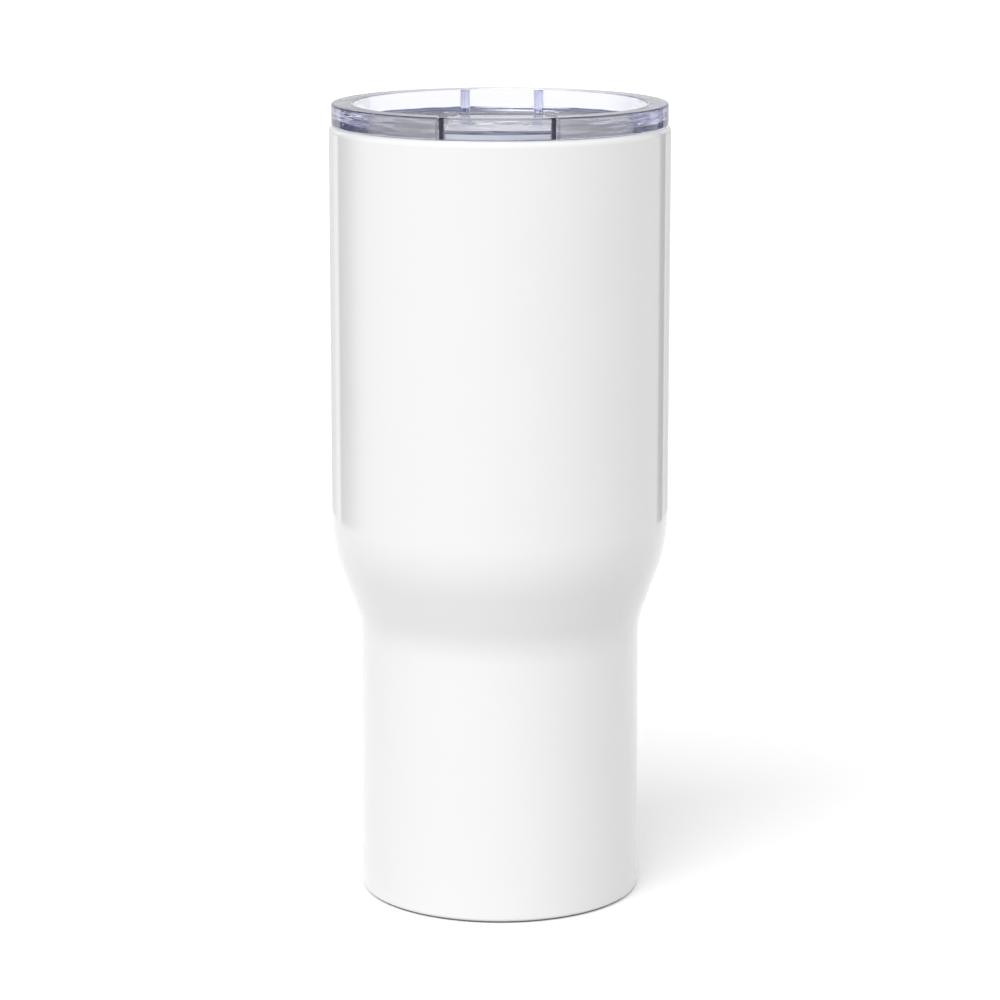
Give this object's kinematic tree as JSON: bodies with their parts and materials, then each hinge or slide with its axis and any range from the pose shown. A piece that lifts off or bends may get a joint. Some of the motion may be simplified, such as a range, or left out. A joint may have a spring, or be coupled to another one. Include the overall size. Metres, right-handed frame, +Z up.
{
  "type": "insulated travel mug",
  "caption": "Tall vacuum-walled steel travel mug in gloss white, slimmer at the foot for a cup holder, with a clear press-in lid and a hinged drinking flap.",
  "frame": {"origin": "centre of the foot, in the plane of the table it stands on", "axes": "+Z up along the mug's axis, -Y towards the drinking side, +X to the right as seen from the drinking side"},
  "size_m": [0.089, 0.089, 0.2109],
  "materials": {
    "white_coat": "smooth gloss white coating",
    "bare_steel": "satin, electropolished inside",
    "foil": "bright foil",
    "solder_glass": "fused solder glass",
    "getter_alloy": "pressed powder",
    "clear_plastic": "polished clear plastic with a faint blue tint",
    "silicone": "translucent matt silicone",
    "pin_steel": "drawn wire, smooth"
  },
  "bodies": {
    "mug": {"outer_shell": "white_coat", "inner_liner": "bare_steel", "liner_bottom": "bare_steel", "heat_foil": "foil", "base_cap": "bare_steel", "vacuum_seal": "solder_glass", "base_cover": "bare_steel", "getter_cup": "bare_steel", "getter_pill": "getter_alloy"},
    "lid": {"lid_shell": "clear_plastic", "lid_gasket": "silicone", "hinge_pin": "pin_steel"},
    "flap": {"flap": "clear_plastic", "drink_seal": "silicone", "vent_seal": "silicone"}
  },
  "joints": [
    {"name": "lid_lift", "type": "slide", "parent": "mug", "child": "lid", "axis": [0, 0, 1], "range_m": [0, 0.06]},
    {"name": "flap_hinge", "type": "hinge", "parent": "lid", "child": "flap", "pos_m": [0, 0.019, 0.2048], "axis": [-1, 0, 0], "range_deg": [0, 152]}
  ]
}
